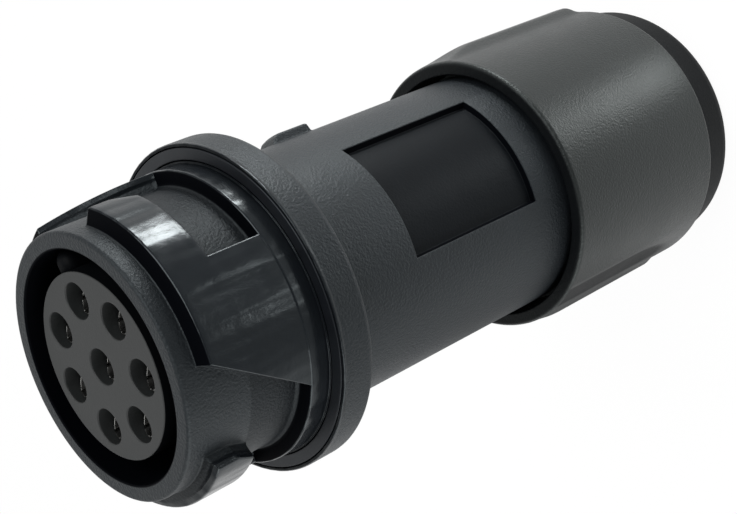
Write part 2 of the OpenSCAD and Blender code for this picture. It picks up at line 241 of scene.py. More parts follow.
def rounded(corners, closed=True, points=7):
    """Profile through corners (r, z, rounding): each corner becomes an arc tangent to its two sides.

    With half the inner angle h, the arc starts rounding / tan h from the corner and its centre lies
    rounding / sin h along the bisector. A held point beside each arc, at hold or at a share of the
    straight run, keeps the flats flat when shaded. The ends of an open profile stay as they are.
    """
    hold, share = 0.05 * MM, 0.3
    rows = np.array(corners, float)
    place, radius = rows[:, :2], rows[:, 2]
    back, on = np.roll(place, 1, 0) - place, np.roll(place, -1, 0) - place
    back_len, on_len = np.linalg.norm(back, axis=1), np.linalg.norm(on, axis=1)
    back, on = back / back_len[:, None], on / on_len[:, None]
    half = 0.5 * np.arccos(np.clip((back * on).sum(1), -1, 1))
    reach = radius / np.tan(half)
    bisector = (back + on) / np.linalg.norm(back + on, axis=1)[:, None]
    centre = place + bisector * (radius / np.sin(half))[:, None]
    first, last = place + back * reach[:, None], place + on * reach[:, None]
    sweep = (math.pi - 2 * half)[:, None, None]
    t = np.linspace(0, 1, points)[None, :, None]
    arc = centre[:, None] + (np.sin((1 - t) * sweep) * (first - centre)[:, None]
                             + np.sin(t * sweep) * (last - centre)[:, None]) / np.sin(sweep)
    spare_back = np.minimum(hold, share * (back_len - reach - np.roll(reach, 1)))
    spare_on = np.minimum(hold, share * (on_len - reach - np.roll(reach, -1)))
    before = (first + back * spare_back[:, None])[:, None]
    after = (last + on * spare_on[:, None])[:, None]
    runs = np.concatenate([before, arc, after], axis=1)
    if closed:
        return runs.reshape(-1, 2)
    return np.concatenate([place[:1], runs[1:-1].reshape(-1, 2), place[-1:]])


def with_rows(profile, radius, heights):
    """Adds points at the given heights to a straight run of a profile.

    The run is the one at the radius whose two ends lie on both sides of the heights' median.
    """
    at_radius = np.isclose(profile[:, 0], radius, atol=SAME)
    start, end = profile[:, 1], np.roll(profile[:, 1], -1)
    holds = (np.median(heights) - start) * (np.median(heights) - end) < 0
    i = int(np.argmax(at_radius & np.roll(at_radius, -1) & holds))
    low, high = sorted((start[i], end[i]))
    inside = np.unique(np.round(heights, 8))
    inside = inside[(inside > low + APART) & (inside < high - APART)]
    inside = inside if end[i] > start[i] else inside[::-1]
    return np.insert(profile, i + 1, np.c_[np.full(len(inside), radius), inside], axis=0)


def soft_least(first, second, blend):
    """The lower of two heights, rounded where the gap between them is less than blend.

    There it is least - (blend - gap)^2 / (4 blend).
    """
    gap = np.abs(first - second)
    return np.minimum(first, second) - np.maximum(blend - gap, 0) ** 2 / (4 * blend)


def edge_section(rise, draft, foot, crown, points=5):
    """Section across a raised edge: x inwards, y upwards from 0 to rise.

    A fillet of radius foot ends at x = 0, a wall leans in by draft, and an arc of radius crown ends
    on the top.
    """
    a = np.linspace(0, math.pi / 2, points)
    x = np.concatenate([-foot + foot * np.sin(a), draft + crown - crown * np.cos(a)])
    y = np.concatenate([foot - foot * np.cos(a), rise - crown + crown * np.sin(a)])
    return x, y


def across(distance, section):
    """Height of an edge's section at a distance inwards from the foot of its wall."""
    return np.interp(distance, *section)


def spread(knots, counts):
    """Columns through rising knots on each row: gap i between knots is cut into counts[i] equal steps."""
    where = np.concatenate([i + np.arange(n) / n for i, n in enumerate(counts)])
    low = where.astype(int)
    part = where - low
    return knots[:, low] * (1 - part) + knots[:, low + 1] * part


def gap_counts(knots, inner, total):
    """Steps in each gap between knots so that they sum to total: gaps inside an edge get one step."""
    widths = np.diff(knots)
    wide = np.ones(len(widths), bool)
    wide[np.asarray(inner)] = False
    share = widths[wide] / widths[wide].sum() * (total - (~wide).sum())
    steps = np.maximum(np.floor(share).astype(int), 1)
    steps[np.argmax(share)] += total - (~wide).sum() - steps.sum()
    counts = np.ones(len(widths), int)
    counts[wide] = steps
    return counts


def turned(radius, turn, height):
    """Points at a radius, an angle and a height: (r cos a, r sin a, z)."""
    return np.stack(np.broadcast_arrays(radius * np.cos(turn), radius * np.sin(turn), height), -1)


def spin(turn):
    """Matrix that turns rows of points in a plane anticlockwise by an angle."""
    return np.array([[math.cos(turn), math.sin(turn)], [-math.sin(turn), math.cos(turn)]])


def patch(points, wrap_rows=False):
    """A grid of points (rows, columns, 3) as points and faces, closed round its columns.

    Point (i, j) has the number i * columns + j, and a face joins it to its next in both directions.
    """
    rows, columns = points.shape[:2]
    i = np.arange(rows if wrap_rows else rows - 1)[:, None]
    j = np.arange(columns)[None, :]
    i_on, j_on = (i + 1) % rows, (j + 1) % columns
    corner = (i * columns + j, i * columns + j_on, i_on * columns + j_on, i_on * columns + j)
    return points.reshape(-1, 3), np.stack(np.broadcast_arrays(*corner), -1).reshape(-1, 4)


def six_volumes(points, faces):
    """Six times the volume that closed faces hold, by the triple products of their triangles."""
    a, b, c, d = (points[faces[:, k]] for k in range(4))
    return (np.einsum("ij,ij->i", a, np.cross(b, c)) + np.einsum("ij,ij->i", a, np.cross(c, d))).sum()


def add_piece(name, patches, material, body, node):
    """Joins patches into one smooth mesh that faces outwards, stands for a node and rides on a body."""
    offsets = np.cumsum([0] + [len(p) for p, _ in patches[:-1]])
    points = np.concatenate([p for p, _ in patches])
    faces = np.concatenate([f + o for (_, f), o in zip(patches, offsets)])
    if six_volumes(points, faces) < 0:
        faces = faces[:, ::-1]
    mesh = bpy.data.meshes.new(name)
    mesh.from_pydata(points, (), faces)
    work = bmesh.new()
    work.from_mesh(mesh)
    bmesh.ops.remove_doubles(work, verts=work.verts, dist=WELD)
    bmesh.ops.dissolve_degenerate(work, edges=work.edges, dist=SLIVER)
    work.to_mesh(mesh)
    work.free()
    mesh.polygons.foreach_set("use_smooth", np.ones(len(mesh.polygons), bool))
    mesh.materials.append(material)
    piece = bpy.data.objects.new(name, mesh)
    bpy.context.scene.collection.objects.link(piece)
    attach(piece, body)
    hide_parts(node)


# Shapes

def helix(height, turn, pitch):
    """Depth of a right-hand thread's groove, 0 on the crest and 1 at the root.

    The phase is height / pitch - turn / 2 pi, and a triangle wave of it is cut to flats.
    """
    crest, root = 0.22, 0.72
    phase = height / pitch - turn / TAU
    wave = np.abs(2 * (phase - np.floor(phase)) - 1)
    return smooth_step(wave, crest, root)


class Levels:
    """Heights that several pieces share, each taken down from the mating rim by the shell's widths."""

    def __init__(self, s):
        self.front = s.rim_height - s.track_setback
        self.rib_low = self.front - s.rib_width
        self.collar = self.rib_low - s.pocket_width
        self.flange = self.collar - s.collar_width
        self.flange_back = self.flange - s.flange_thickness
        self.shoulder = s.rim_height - SHOULDER_DROP
        self.ledge = self.shoulder - SHOULDER_THICKNESS
        self.hole_step = self.ledge - HOLE_STEP
        self.clip = self.ledge - LEDGE_THICKNESS
        self.insert_end = self.clip - TAIL_LENGTH


class TrackLines(Levels):
    """The edges of a bayonet track, as angles clockwise from its open end at each height."""

    def __init__(self, s):
        super().__init__(s)
        self.s = s
        self.sector = TAU / s.track_count
        rise = s.track_radius - s.rim_radius
        wall_draft, tail_draft = 0.10 * MM, 0.06 * MM
        self.nose = edge_section(rise, draft=0.24 * MM, foot=0.12 * MM, crown=0.16 * MM)
        self.wall = edge_section(rise, draft=wall_draft, foot=0.10 * MM, crown=0.14 * MM)
        self.tail = edge_section(rise, draft=tail_draft, foot=0.04 * MM, crown=0.08 * MM)
        self.nose_foot = self.front + 0.20 * MM
        self.wall_half, self.tail_half = wall_draft / 2, tail_draft / 2

    def lean(self, drop):
        """Angle that a sloped edge has moved round after a drop in height: asin(drop tan slope / r)."""
        return np.arcsin(np.maximum(drop, 0) * math.tan(self.s.guide_slope) / self.s.track_radius)

    def open_end(self, height):
        """Angle of the open end: straight at first, and from guide_start below the front wall the lean
        of the drop below that, held from the rib's lower edge on."""
        start = self.s.guide_start
        return self.lean(np.minimum(self.front - start - height, self.s.rib_width - start))

    def pocket_end(self, height):
        """Angle of the wall that ends the pocket, the same at every height."""
        return np.full_like(height, self.s.pocket_turn)

    def tail_end(self, height):
        """Angle of the sloped tail: track_turn and the lean of the drop below the front wall."""
        return self.s.track_turn + self.lean(np.minimum(self.front - height, self.front - self.collar))

    def columns(self, height):
        """Angles of the columns on each row: gathered on the three edges of every track."""
        s, z = self.s, height[:, None]
        over_wall = (self.wall[0] - self.wall_half) / s.track_radius
        over_tail = (self.tail[0] - self.tail_half) / s.track_radius / math.cos(s.guide_slope)
        one = np.concatenate([self.open_end(z) + over_wall, self.pocket_end(z) + over_wall,
                              self.tail_end(z) - over_tail[::-1]], axis=1)
        tracks = [one + k * self.sector for k in range(s.track_count)]
        knots = np.concatenate(tracks + [one[:, :1] + TAU], axis=1)
        pocket_steps, back_steps, gap_steps = 14, 12, 12
        on_edge = [1] * (len(over_wall) - 1)
        steps = on_edge + [pocket_steps] + on_edge + [back_steps] + on_edge + [gap_steps]
        return s.track_start - spread(knots, steps * s.track_count)

    def rows(self):
        """Heights of the rows that the track's walls need, and of even rows on the rib and in the pocket."""
        rib_margin, pocket_margin = 0.5 * MM, 0.4 * MM
        return np.concatenate([
            self.nose_foot - self.nose[0], self.rib_low - self.wall_half + self.wall[0],
            np.linspace(self.front - rib_margin, self.rib_low + rib_margin, 8),
            np.linspace(self.rib_low - pocket_margin, self.collar + pocket_margin, 10)])

    def height_over(self, turn, height):
        """Height of the tracks over the shell: the lowest of the front wall, the open end and the sloped
        end, and inside those the higher of the front rib and the block behind the pocket.

        Angles in the last twentieth of a sector belong to the foot of the next track's open end.
        """
        s, arc = self.s, self.s.track_radius
        clockwise = np.mod(s.track_start - turn, self.sector)
        clockwise = np.where(clockwise > 0.95 * self.sector, clockwise - self.sector, clockwise)
        front = across(self.nose_foot - height, self.nose)
        start = across((clockwise - self.open_end(height)) * arc + self.wall_half, self.wall)
        slant = math.cos(s.guide_slope)
        tail = across((self.tail_end(height) - clockwise) * arc * slant + self.tail_half, self.tail)
        rib = across(height - self.rib_low + self.wall_half, self.wall)
        block = across((clockwise - s.pocket_turn) * arc + self.wall_half, self.wall)
        return np.minimum(np.minimum(front, start), np.minimum(tail, np.maximum(rib, block)))


def barrel_columns(s, label_section, lug_section, total):
    """Angles of the barrel's columns: gathered on the sides of the label window and of the lug."""
    label_half = s.label_width / s.barrel_radius / 2
    lug_half = s.lug_width / s.barrel_radius / 2
    into_label = label_section[0] / s.barrel_radius
    into_lug = lug_section[0] / s.barrel_radius
    label_mid = s.track_start - s.label_turn
    lug_mid = s.track_start + TAU
    groups = [label_mid - label_half + into_label, label_mid + label_half - into_label[::-1],
              lug_mid - lug_half + into_lug, lug_mid + lug_half - into_lug[::-1]]
    knots = np.concatenate([[0.0]] + groups + [[TAU]])
    ends = np.cumsum([1] + [len(g) for g in groups])
    inner = np.concatenate([np.arange(a, b - 1) for a, b in zip(ends[:-1], ends[1:])])
    counts = gap_counts(knots, inner, total)
    return s.track_start - spread(knots[None, :], counts)[0]


def shell_surface(s):
    """The coupling shell: a closed profile turned about the axis.

    Its radius gains the tracks and the lug and loses the label window and the thread. Columns follow
    the tracks' edges at the mating end and the window and lug on the barrel, and shift from one to the
    other under the flange.
    """
    lines = TrackLines(s)
    collar, flange, flange_back = lines.collar, lines.flange, lines.flange_back
    ledge, clip = lines.ledge, lines.clip
    band = s.track_radius + LOOSE
    gasket = s.flange_radius - GASKET_LIP
    groove = gasket - GASKET_WIDTH
    ledge_radius = s.bore_radius - LEDGE_WIDTH
    chamber = ledge_radius + 0.3 * MM
    label_section = edge_section(s.label_depth, draft=0.05 * MM, foot=0.06 * MM, crown=0.05 * MM)
    lug_section = edge_section(s.lug_rise, draft=0.06 * MM, foot=0.12 * MM, crown=0.18 * MM)
    label_high = s.label_low + s.label_length
    lug_low = s.lug_top - s.lug_length

    profile = rounded([
        (s.bore_radius, s.rim_height, 0.14 * MM), (s.rim_radius, s.rim_height, 0.22 * MM),
        (s.rim_radius, collar, 0.30 * MM), (band, collar, 0.14 * MM),
        (band, flange, 0.04 * MM), (groove, flange, 0.03 * MM),
        (groove, flange - GASKET_DEPTH, 0.06 * MM), (gasket, flange - GASKET_DEPTH, 0.06 * MM),
        (gasket, flange, 0.06 * MM), (s.flange_radius, flange, 0.14 * MM),
        (s.flange_radius, flange_back, 0.45 * MM), (s.barrel_radius, flange_back, 0.5 * MM),
        (s.barrel_radius, s.barrel_end, 0.16 * MM), (s.thread_radius, s.barrel_end, 0.05 * MM),
        (s.thread_radius, s.spigot_end, 0.4 * MM), (s.spigot_bore, s.spigot_end, 0.12 * MM),
        (s.spigot_bore, s.barrel_end, 0.3 * MM),
        (chamber, s.barrel_end + 2 * (chamber - s.spigot_bore), 0.3 * MM),
        (chamber, clip, 0.06 * MM), (ledge_radius, clip, 0.05 * MM),
        (ledge_radius, ledge, 0.05 * MM), (s.bore_radius, ledge, 0.06 * MM)])
    profile = with_rows(profile, s.rim_radius, lines.rows())
    profile = with_rows(profile, s.flange_radius, np.linspace(flange_back, flange, 7))
    profile = with_rows(profile, s.barrel_radius, np.concatenate([
        s.label_low + label_section[0], label_high - label_section[0],
        np.linspace(s.label_low + 1 * MM, label_high - 1 * MM, 8),
        lug_low + lug_section[0], s.lug_top - np.linspace(0, 1.2 * MM, 13),
        np.linspace(lug_low + 0.6 * MM, s.lug_top - 1.4 * MM, 4), np.linspace(s.lug_top, flange_back, 6)]))
    thread_row = s.thread_pitch / 14
    profile = with_rows(profile, s.thread_radius, np.arange(s.spigot_end, s.barrel_end, thread_row))

    base, height = profile[:, :1], profile[:, 1:]
    outside = np.arange(len(profile)) < np.argmin(np.abs(profile - (s.spigot_bore, s.spigot_end)).sum(1))
    mating = lines.columns(np.where(outside, profile[:, 1], s.rim_height))
    barrel = barrel_columns(s, label_section, lug_section, mating.shape[1])
    turn = barrel + (mating - barrel) * smooth_step(height, flange_back, flange)
    outside = outside[:, None]

    above_flange = outside & (height > collar - 1 * MM)
    over = np.where(above_flange, lines.height_over(turn, height), 0)
    radius = np.where(over > 0, np.maximum(base, s.rim_radius + over), base)

    on_barrel = outside & np.isclose(base, s.barrel_radius, atol=SAME)
    round_label = np.minimum(
        s.label_width / 2 - np.abs(np.mod(turn - s.label_turn + math.pi, TAU) - math.pi) * s.barrel_radius,
        np.minimum(height - s.label_low, label_high - height))
    round_lug = np.minimum(
        s.lug_width / 2 - np.abs(np.mod(turn + math.pi, TAU) - math.pi) * s.barrel_radius, height - lug_low)
    ramp_length, ramp_knee = 0.9 * MM, 0.7 * s.lug_rise
    ramp = np.interp(s.lug_top - height, (0, ramp_length / 2, ramp_length), (0, ramp_knee, s.lug_rise))
    lug = np.minimum(across(round_lug, lug_section), ramp)
    radius = np.where(on_barrel, radius + lug - across(round_label, label_section), radius)

    on_thread = outside & np.isclose(base, s.thread_radius, atol=SAME)
    run_out = smooth_step(height, s.spigot_end, s.spigot_end + s.thread_pitch) * smooth_step(
        s.barrel_end - height, 0.2 * MM, s.thread_pitch)
    cut = s.thread_depth * run_out * helix(height, turn, s.thread_pitch)
    radius = np.where(on_thread, radius - cut, radius)
    return [patch(turned(radius, turn, height), wrap_rows=True)]


def grip_radius(s, base, turn, height):
    """Radius of the nut's side with its two grips, which repeat after half a turn.

    A scallop is a flat that runs out to the mouth; below its middle it rises as a long cylinder across
    the axis leaves it, so in its own direction x = radius - depth + curve - sqrt(curve^2 - z^2). Beside it
    stands a ridge with a flat crest whose flanks fall by a constant slope; it ends in a short slope below
    and in a long ramp above.
    """
    def aside(middle):
        """Angle from the nearer of two opposite middles."""
        return np.mod(turn - middle + math.pi / 2, math.pi) - math.pi / 2

    scallop_blend, crest_blend, foot_blend = 0.10 * MM, 0.2 * MM, 0.16 * MM
    end_slope = 5
    from_middle = np.minimum(height - (s.grip_low + s.grip_high) / 2, 0)
    floor = s.radius - s.scallop_depth + s.scallop_curve - np.sqrt(s.scallop_curve ** 2 - from_middle ** 2)
    side = soft_least(base, floor / np.cos(aside(s.grip_turn + s.scallop_turn)), scallop_blend)
    over = aside(s.grip_turn)
    ramp = (s.grip_high - height) * s.grip_rise / s.grip_ramp
    rise = soft_least(end_slope * (height - s.grip_low), ramp, crest_blend)
    crest = s.radius + soft_least(rise, s.grip_rise, crest_blend)
    down = np.minimum(np.abs(over), math.atan(s.grip_fall))
    flank = s.radius + s.grip_rise + s.grip_fall * s.grip_width / 2
    flank = flank / (np.cos(down) + s.grip_fall * np.sin(down))
    ridge = soft_least(crest / np.cos(over), flank, foot_blend)
    return -soft_least(-side, -ridge, foot_blend)


def nut_surface(s, shell):
    """The gland nut: a closed profile turned about the axis, with two grips and an inner thread."""
    inner = shell.thread_radius + LOOSE
    cone_foot, cone_top = 2.3 * MM, 6.9 * MM
    cone_wide = shell.thread_radius - 0.3 * MM
    cone_narrow = cone_wide - 2.0 * MM
    thread_top = s.length - s.mouth_depth
    profile = rounded([
        (s.mouth_radius, s.length, 0.12 * MM), (s.radius, s.length, 0.30 * MM),
        (s.radius, s.back_length, 0.24 * MM), (s.back_radius, s.back_length, 0.08 * MM),
        (s.back_foot, 0.0, s.back_round), (s.hole_radius, 0.0, 0.4 * MM),
        (s.hole_radius, cone_foot, 0.1 * MM), (cone_narrow, cone_foot, 0.1 * MM),
        (cone_wide, cone_top, 0.1 * MM), (inner, cone_top, 0.08 * MM),
        (inner, thread_top, 0.1 * MM), (s.mouth_radius, thread_top, 0.2 * MM)], points=9)
    ridge_foot = s.grip_low + 1 * MM
    profile = with_rows(profile, s.radius, np.concatenate([
        np.linspace(s.grip_low - 0.2 * MM, ridge_foot, 13),
        np.linspace(ridge_foot, s.grip_high + 0.5 * MM, 44)]))
    profile = with_rows(profile, inner, np.arange(cone_top, thread_top, shell.thread_pitch / 8))
    base, height = profile[:, :1], profile[:, 1:]

    first = s.grip_turn - math.radians(15)
    last = s.grip_turn + s.scallop_turn + math.radians(20)
    knots = np.array([[first, last, first + math.pi, last + math.pi, first + TAU]])
    grip_steps, plain_steps = 104, 34
    turn = spread(knots, (grip_steps, plain_steps) * 2)
    on_side = np.isclose(base, s.radius, atol=SAME)
    radius = np.where(on_side, grip_radius(s, base, turn, height), base)
    on_thread = np.isclose(base, inner, atol=SAME)
    groove = s.thread_groove * (1 - helix(height, turn, shell.thread_pitch))
    fade = smooth_step(height, cone_top, cone_top + 1 * MM) * smooth_step(
        thread_top - height, 0.1 * MM, 1 * MM)
    radius = np.where(on_thread, radius + groove * fade, radius)
    return [patch(turned(radius, turn, height), wrap_rows=True)]


def cell_edge(ring, half, outer, side, arc, chord):
    """Edge of the cell round a ring hole on +X, anticlockwise from its inner clockwise corner.

    The cell lies between the line halfway to the middle hole, two lines through the axis at +-half, and
    a circle of radius outer.
    """
    near = ring / 2 / math.cos(half)
    away = np.linspace(near, outer, side, endpoint=False)
    home = np.linspace(outer, near, side, endpoint=False)
    sweep = np.linspace(-half, half, arc, endpoint=False)
    across_chord = np.linspace(1, -1, chord, endpoint=False) * ring / 2 * math.tan(half)
    low = np.array([math.cos(half), -math.sin(half)])
    high = np.array([math.cos(half), math.sin(half)])
    return np.concatenate([
        away[:, None] * low, outer * np.c_[np.cos(sweep), np.sin(sweep)], home[:, None] * high,
        np.c_[np.full(chord, ring / 2), across_chord]])


def hole_patch(centre, front_edge, back_edge, front, back, profile):
    """Surface through a hole: from the cell's edge on the front face in to the mouth, along the hole's
    profile (r, z), and out to the cell's edge on the back face.

    Points keep their direction from the centre, which turns evenly from the front edge's to the back
    edge's on the way down the hole.
    """
    def ring_rows(edge, radius):
        """Points at each radius from the centre, towards the edge's points."""
        away = edge - centre
        direction = away / np.linalg.norm(away, axis=1)[:, None]
        return centre + direction[None] * radius[:, None, None]

    def flat_rows(edge, radius, height):
        """Rows on a face that go by shares of the way from the edge to the hole."""
        rim = ring_rows(edge, np.array([radius]))[0]
        share = np.array([0.0, 0.5, 0.9])[:, None, None]
        flat = edge + (rim - edge) * share
        return np.concatenate([flat, np.full(flat.shape[:2] + (1,), height)], axis=2)

    share = np.linspace(0, 1, len(profile))[:, None, None]
    front_ring, back_ring = (ring_rows(edge, profile[:, 0]) for edge in (front_edge, back_edge))
    wall = front_ring * (1 - share) + back_ring * share
    heights = np.broadcast_to(profile[:, 1, None, None], wall.shape[:2] + (1,))
    return patch(np.concatenate([
        flat_rows(front_edge, profile[0, 0], front), np.concatenate([wall, heights], axis=2),
        flat_rows(back_edge, profile[-1, 0], back)[::-1]]))


def insert_surface(s, shell):
    """The contact insert: a face cut into one cell for each hole, holes right through, and a turned side."""
    at = Levels(shell)
    shoulder, ledge, clip, step, tail = at.shoulder, at.ledge, at.clip, at.hole_step, at.insert_end
    groove = clip - CLIP_THICKNESS
    tail_radius = shell.bore_radius - LEDGE_WIDTH - LOOSE
    wide = shell.bore_radius - LOOSE
    margin = 0.3 * MM
    rear = s.hole_radius - 0.27 * MM
    half = math.pi / s.ring_count
    side, arc, chord = 7, 24, 10

    hole = rounded([
        (s.hole_radius + 0.2 * MM, s.face_height, 0), (s.hole_radius, s.face_height, s.hole_edge),
        (s.hole_radius, step, 0.05 * MM),
        (rear, step, 0.05 * MM), (rear, tail, 0.08 * MM), (rear + margin, tail, 0)], closed=False, points=6)
    front_edge = cell_edge(s.ring_radius, half, s.radius - margin, side, arc, chord)
    back_edge = cell_edge(s.ring_radius, half, tail_radius - margin, side, arc, chord)
    turns = s.ring_turn - np.arange(s.ring_count) * TAU / s.ring_count
    patches = []
    for turn in turns:
        place, front, back = (p @ spin(turn) for p in (np.array([s.ring_radius, 0.0]), front_edge, back_edge))
        patches.append(hole_patch(place, front, back, s.face_height, tail, hole))
    along = np.linspace(-1, 1, chord, endpoint=False) * math.tan(half)
    straight = s.ring_radius / 2 * np.c_[np.ones(chord), along]
    middle = np.concatenate([straight @ spin(t) for t in turns[::-1]])
    patches.append(hole_patch(np.zeros(2), middle, middle, s.face_height, tail, hole))

    profile = rounded([
        (s.radius - margin, s.face_height, 0), (s.radius, s.face_height, 0.06 * MM),
        (s.radius, shoulder, 0.1 * MM), (wide, shoulder, 0.08 * MM),
        (wide, ledge, 0.08 * MM), (tail_radius, ledge, 0.05 * MM),
        (tail_radius, clip, 0.05 * MM), (tail_radius - CLIP_DEPTH, clip, 0.05 * MM),
        (tail_radius - CLIP_DEPTH, groove, 0.05 * MM), (tail_radius, groove, 0.05 * MM),
        (tail_radius, tail, 0.16 * MM), (tail_radius - margin, tail, 0)], closed=False)
    turn = s.ring_turn - half + np.arange(arc * s.ring_count) * TAU / (arc * s.ring_count)
    points, faces = patch(turned(profile[:, :1], turn[None, :], profile[:, 1:]))
    return patches + [(points, faces[:, ::-1])]


def key_surface(s, shell):
    """The polarising key: a bar with a round back, carried up the insert's side.

    Near its top the half width shrinks by crown (1 - cos a) while the height grows by crown sin a.
    """
    low = Levels(shell).shoulder - 0.2 * MM
    top = s.face_height - 0.3 * MM
    crown = 0.7 * MM
    half = s.key_width / 2
    root = s.radius - 0.3 * MM
    bow = np.linspace(-math.pi / 2, math.pi / 2, 19)
    quarter = np.linspace(0, math.pi / 2, 7)[1:]
    inset = np.concatenate([[half, 0.0, 0.0], crown * (1 - np.cos(quarter)), [half]])
    height = np.concatenate([
        [low, low, top - crown - 0.05 * MM], top - crown + crown * np.sin(quarter), [top]])
    wide = (half - inset)[:, None]
    flat = np.full((len(inset), 1), root)
    x = np.concatenate([flat, s.key_reach - half + wide * np.cos(bow), flat], axis=1)
    y = np.concatenate([-wide, wide * np.sin(bow), wide], axis=1)
    return [patch(np.stack(np.broadcast_arrays(x, y, height[:, None]), -1))]


def contact_surface(s, insert, shell, turn, away):
    """A socket contact: a closed profile turned about its own axis, which lies away from the middle in
    the direction turn.

    In the slots the socket's radius grows almost to the outside, which cuts its wall into tines. The
    mouth is cut at a slant: it sinks by lean / 2 * (1 + cos angle), fading out over the slots' length.
    """
    at = Levels(shell)
    step = at.hole_step
    collar_top = step + COLLAR_LENGTH
    collar = insert.hole_radius - LOOSE
    top = insert.face_height - s.recess
    bottom = top - s.depth
    low = at.insert_end - s.cup_length
    cup_floor = low + s.cup_length - 1.0 * MM
    cup, core = s.shank_radius - s.cup_wall, 0.02 * MM
    profile = rounded([
        (s.radius - s.rim, top, 0.03 * MM), (s.radius, top, 0.03 * MM),
        (s.radius, collar_top, 0.03 * MM), (collar, collar_top, 0.04 * MM),
        (collar, step, 0.04 * MM), (s.shank_radius, step, 0.03 * MM),
        (s.shank_radius, low, 0.05 * MM), (cup, low, 0.05 * MM),
        (cup, cup_floor, 0.05 * MM), (core, cup_floor, 0), (core, bottom - 0.3 * MM, 0),
        (s.pin_radius, bottom, 0.05 * MM), (s.pin_radius, top - s.funnel, 0.2 * MM)], points=4)
    slot_end = top - s.slot_length
    profile = with_rows(profile, s.pin_radius, slot_end + np.array([-0.01, 0.01]) * MM)
    base, height = profile[:, :1], profile[:, 1:]

    pitch = TAU / s.tines
    half = s.slot / s.radius / 2
    tine_steps = 8
    edges = half * np.array([-1, -0.7, 0.7, 1])
    knots = np.concatenate([pitch * (k + 0.5) + edges for k in range(s.tines)] + [[TAU + pitch / 2 - half]])
    round_axis = spread(knots[None, :], [1, 1, 1, tine_steps] * s.tines)
    in_slot = np.abs(np.mod(round_axis, pitch) - pitch / 2) < 0.85 * half
    opened = in_slot & (height > slot_end) & (base < s.radius - s.rim / 2)
    skin = 0.03 * MM
    radius = np.where(opened, s.radius - skin, base)
    place = away * np.array([math.cos(turn), math.sin(turn), 0.0])
    fade = np.clip((height - slot_end) / s.slot_length, 0, 1)
    sunk = s.lean / 2 * (1 + np.cos(round_axis + turn)) * fade
    return [patch(turned(radius, round_axis + turn, height - sunk) + place, wrap_rows=True)]


def ring_surface(corners, columns=128):
    """A ring: a closed profile with rounded corners turned about the axis."""
    profile = rounded(corners)
    turn = np.arange(columns) * TAU / columns
    return [patch(turned(profile[:, :1], turn[None, :], profile[:, 1:]), wrap_rows=True)]


# Finishes

# Flat black surface that is mixed in as painted shade and painted dark reflection
PAINTED_SHADE_BLACK = {"Base_Color": (0.0011, 0.0015, 0.0026, 1.0), "Roughness": 0.6, "Specular_IOR_Level": 0.03}


class Wire:
    """A shader socket that adds Math nodes when it is used in an expression."""

    def __init__(self, tree, socket):
        self.tree, self.socket = tree, socket

    def maths(self, operation, *values):
        """Adds a Math node on wires and numbers and gives its value."""
        node = self.tree.nodes.new("ShaderNodeMath")
        node.operation = operation
        for socket, value in zip(node.inputs, values):
            if isinstance(value, Wire):
                self.tree.links.new(value.socket, socket)
            else:
                socket.default_value = value
        return Wire(self.tree, node.outputs[0])

    def __add__(self, other):
        return self.maths("ADD", self, other)

    def __radd__(self, other):
        return self.maths("ADD", other, self)

    def __sub__(self, other):
        return self.maths("SUBTRACT", self, other)

    def __rsub__(self, other):
        return self.maths("SUBTRACT", other, self)

    def __mul__(self, other):
        return self.maths("MULTIPLY", self, other)

    def __rmul__(self, other):
        return self.maths("MULTIPLY", other, self)

    def most(self, other):
        """The higher of this and another value."""
        return self.maths("MAXIMUM", self, other)

    def root(self):
        """The square root."""
        return self.maths("SQRT", self)


class Finish:
    """A node tree under construction, with one method for every node that isn't maths."""

    def __init__(self, owner):
        owner.use_nodes = True
        self.owner, self.tree = owner, owner.node_tree
        self.tree.nodes.clear()

    def node(self, kind, settings=None, inputs=None, output=0):
        """Adds a node, sets it up, fills or links its sockets, and gives one of its outputs."""
        node = self.tree.nodes.new("ShaderNode" + kind)
        for key, value in (settings or {}).items():
            setattr(node, key, value)
        for key, value in (inputs or {}).items():
            if isinstance(value, Wire):
                self.tree.links.new(value.socket, node.inputs[key])
            else:
                node.inputs[key].default_value = value
        return Wire(self.tree, node.outputs[output]) if node.outputs else None

    def range(self, value, low, high, at_low=0.0, at_high=1.0):
        """at_low where value is below low, at_high where it is above high, and smooth between them."""
        return self.node("MapRange", {"interpolation_type": "SMOOTHSTEP"}, {
            "Value": value, "From Min": low, "From Max": high, "To Min": at_low, "To Max": at_high})

    def above(self, value, level, low, high):
        """0 up to low millimetres from a level, 1 from high millimetres on, and smooth between them."""
        return self.range(value, level + low * MM, level + high * MM)

    def place(self):
        """Object coordinates."""
        return self.node("TexCoord", output="Object")

    def parts(self, vector, axes):
        """Parts of a vector along the axes that are named."""
        return [self.node("SeparateXYZ", None, {0: vector}, output=axis) for axis in axes]

    def noise(self, scale, detail, where=None):
        """Noise on Object coordinates, with scale in cells per metre."""
        where = where or self.place()
        return self.node("TexNoise", None, {"Vector": where, "Scale": scale, "Detail": detail})

    def blend(self, share, first, second):
        """Colour mixed by a share from first to second, each a wire or three numbers."""
        first, second = (c if isinstance(c, Wire) else (*c, 1.0) for c in (first, second))
        return self.node("Mix", {"data_type": "RGBA"}, {0: share, 6: first, 7: second}, output=2)

    def bump(self, height, distance, strength):
        """Normal from a height, of which 1 stands for a distance in metres."""
        return self.node("Bump", None, {"Height": height, "Distance": distance, "Strength": strength})

    def principled(self, **inputs):
        """A Principled surface whose sockets are named with underscores."""
        return self.node("BsdfPrincipled", None, {k.replace("_", " "): v for k, v in inputs.items()})

    def surface(self, painted_shade=None, **inputs):
        """Ends the tree in a Principled surface, which turns flat black, as painted shade, where the
        painted-shade mask is 1.
        """
        shader = self.principled(**inputs)
        if painted_shade:
            shader = self.node("MixShader", None, {0: painted_shade, 1: shader, 2: self.principled(**PAINTED_SHADE_BLACK)})
        self.node("OutputMaterial", None, {"Surface": shader})
        return self.owner


def new_finish(name):
    """An empty finish in a new material."""
    return Finish(bpy.data.materials.new(name))


